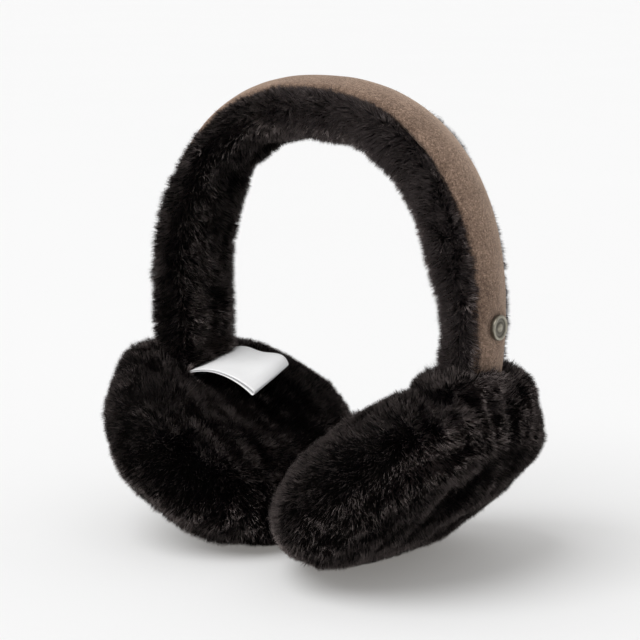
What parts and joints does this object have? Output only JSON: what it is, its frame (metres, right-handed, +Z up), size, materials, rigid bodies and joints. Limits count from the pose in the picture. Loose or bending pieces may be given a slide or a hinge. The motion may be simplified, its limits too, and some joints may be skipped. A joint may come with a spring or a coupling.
{
  "type": "fur earmuffs",
  "caption": "Earmuffs standing on both ear pads: a padded fur headband arch with a suede outer strip, deep fur cushions, a folded blank fabric label and a round metal stud.",
  "frame": {"origin": "on the floor, under the middle of the object's bounding box", "axes": "+Z up through the arch's top, +X towards the arm with the stud, -Y towards the front"},
  "size_m": [0.1926, 0.1394, 0.197],
  "materials": {
    "suede": "brushed suede, taupe",
    "fur": "dense sheepskin pile, near-black brown",
    "cloth": "satin tape, white",
    "pewter": "satin pewter"
  },
  "bodies": {
    "root": {"band_suede": "suede", "band_fur": "fur", "pad_right_inner": "fur", "pad_right_outer": "fur", "pad_left_inner": "fur", "pad_left_outer": "fur", "care_label": "cloth", "stud": "pewter"}
  },
  "joints": []
}
